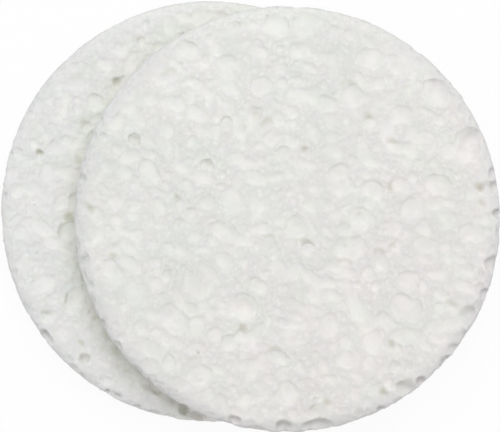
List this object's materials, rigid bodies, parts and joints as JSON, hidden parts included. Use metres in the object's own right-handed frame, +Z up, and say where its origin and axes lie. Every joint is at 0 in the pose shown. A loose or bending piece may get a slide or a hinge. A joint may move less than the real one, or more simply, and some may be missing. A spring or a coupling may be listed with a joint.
{
  "type": "facial sponge pad pair",
  "caption": "Pair of stacked round white foam pads with open pores, wetted and rubbed over the skin to cleanse it or to take off a mask.",
  "frame": {"origin": "centre of the lower pad's flat underside, which rests on the surface", "axes": "+Z up through the stack, +X the way the upper pad is moved off the lower one, which is the stack's longest way, +Y towards the top of the picture"},
  "size_m": [0.0885, 0.0764, 0.0181],
  "materials": {
    "lower_foam": "matte",
    "upper_foam": "matte"
  },
  "bodies": {
    "lower_pad": {"lower_pad": "lower_foam"},
    "upper_pad": {"upper_pad": "upper_foam"}
  },
  "joints": [
    {"name": "upper_pad_lift", "type": "slide", "parent": "lower_pad", "child": "upper_pad", "axis": [0, 0, 1], "range_m": [0, 0.04]}
  ]
}
